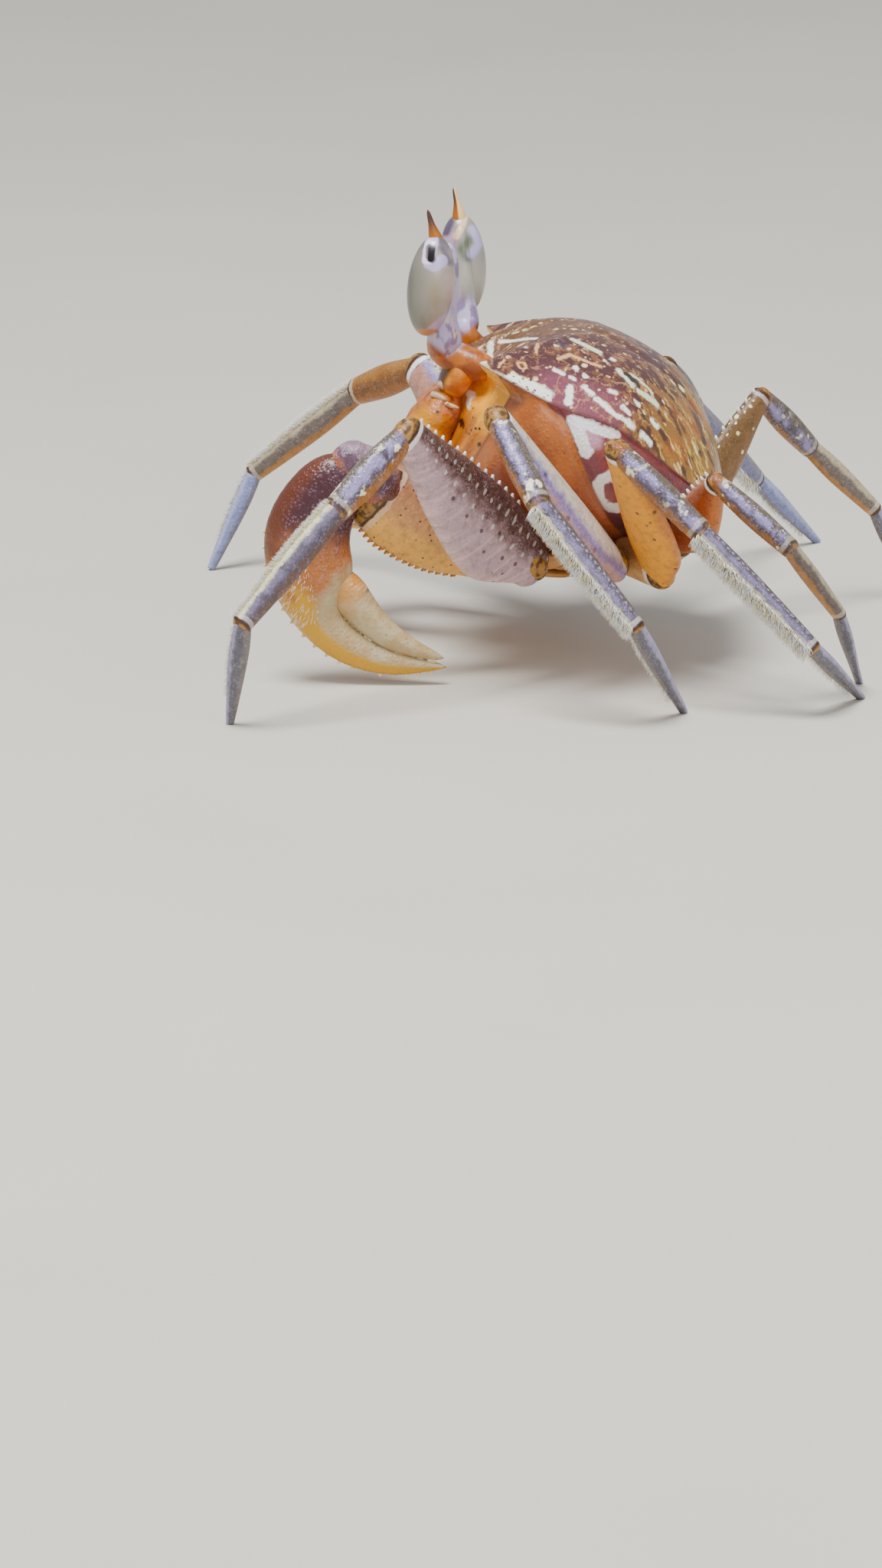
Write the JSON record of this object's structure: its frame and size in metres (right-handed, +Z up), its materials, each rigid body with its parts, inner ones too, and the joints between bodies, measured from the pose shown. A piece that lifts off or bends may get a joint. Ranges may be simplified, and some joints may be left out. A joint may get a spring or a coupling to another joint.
{
  "type": "ghost crab",
  "caption": "Life-size standing ghost crab with raised body, upright horned eyes, one larger claw and long walking legs.",
  "frame": {"origin": "on the floor, under the middle of the crab's outer box", "axes": "+X to the crab's own left, -Y ahead of it, +Z up"},
  "size_m": [0.1016, 0.0746, 0.0462],
  "materials": {
    "shell": "satin, mottled",
    "underside": "satin",
    "limb": "satin, mottled",
    "claw": "satin, granular",
    "cornea": "polished",
    "stalk": "satin",
    "horn": "satin"
  },
  "bodies": {
    "root": {"abdomen": "underside", "carapace": "shell", "claw_left_carpus": "claw", "claw_left_finger": "claw", "claw_left_ischium": "claw", "claw_left_merus": "claw", "claw_left_palm": "claw", "claw_right_carpus": "claw", "claw_right_finger": "claw", "claw_right_ischium": "claw", "claw_right_merus": "claw", "claw_right_palm": "claw", "eye_left": "cornea", "eye_right": "cornea", "eyestalk_left": "stalk", "eyestalk_right": "stalk", "horn_left": "horn", "horn_right": "horn", "leg1_left_carpus": "limb", "leg1_left_dactyl": "limb", "leg1_left_ischium": "limb", "leg1_left_merus": "limb", "leg1_left_propodus": "limb", "leg1_right_carpus": "limb", "leg1_right_dactyl": "limb", "leg1_right_ischium": "limb", "leg1_right_merus": "limb", "leg1_right_propodus": "limb", "leg2_left_carpus": "limb", "leg2_left_dactyl": "limb", "leg2_left_ischium": "limb", "leg2_left_merus": "limb", "leg2_left_propodus": "limb", "leg2_right_carpus": "limb", "leg2_right_dactyl": "limb", "leg2_right_ischium": "limb", "leg2_right_merus": "limb", "leg2_right_propodus": "limb", "leg3_left_carpus": "limb", "leg3_left_dactyl": "limb", "leg3_left_ischium": "limb", "leg3_left_merus": "limb", "leg3_left_propodus": "limb", "leg3_right_carpus": "limb", "leg3_right_dactyl": "limb", "leg3_right_ischium": "limb", "leg3_right_merus": "limb", "leg3_right_propodus": "limb", "leg4_left_carpus": "limb", "leg4_left_dactyl": "limb", "leg4_left_ischium": "limb", "leg4_left_merus": "limb", "leg4_left_propodus": "limb", "leg4_right_carpus": "limb", "leg4_right_dactyl": "limb", "leg4_right_ischium": "limb", "leg4_right_merus": "limb", "leg4_right_propodus": "limb", "mouthparts": "underside", "sternum": "underside"}
  },
  "joints": []
}
